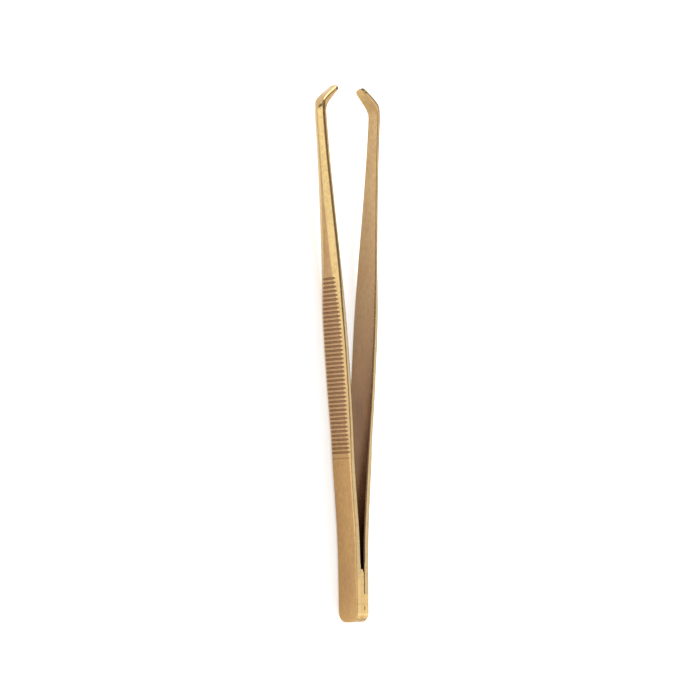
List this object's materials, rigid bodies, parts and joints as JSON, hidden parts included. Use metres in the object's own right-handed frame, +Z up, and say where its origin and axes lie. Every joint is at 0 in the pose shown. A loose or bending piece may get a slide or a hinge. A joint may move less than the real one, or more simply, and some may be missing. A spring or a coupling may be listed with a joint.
{
  "type": "spring tweezers",
  "caption": "Long gold-coloured spring tweezers for stamps, with cross-ribbed grips and tips turned inward.",
  "frame": {"origin": "on the surface the tweezers lie on, below the middle of their box", "axes": "+Y along the length from the welded tail to the tips, +Z up across the width of the legs, X across the opening with the left leg at -X"},
  "size_m": [0.018, 0.12, 0.0074],
  "materials": {
    "leg": "satin",
    "spacer": "satin",
    "weld": "satin"
  },
  "bodies": {
    "tail": {"left_leg_root": "leg", "right_leg_root": "leg", "tail_spacer": "spacer", "left_upper_weld": "weld", "left_lower_weld": "weld", "right_upper_weld": "weld", "right_lower_weld": "weld"},
    "left_arm": {"left_leg_blade": "leg"},
    "right_arm": {"right_leg_blade": "leg"}
  },
  "joints": [
    {"name": "left_flex", "type": "hinge", "parent": "tail", "child": "left_arm", "pos_m": [-0.00046, -0.048, 0.0037], "axis": [0, 0, -1], "range_deg": [0, 1.79], "stiffness_Nm_per_rad": 5},
    {"name": "right_flex", "type": "hinge", "parent": "tail", "child": "right_arm", "pos_m": [0.00046, -0.048, 0.0037], "axis": [0, 0, 1], "range_deg": [0, 1.79], "stiffness_Nm_per_rad": 5}
  ]
}
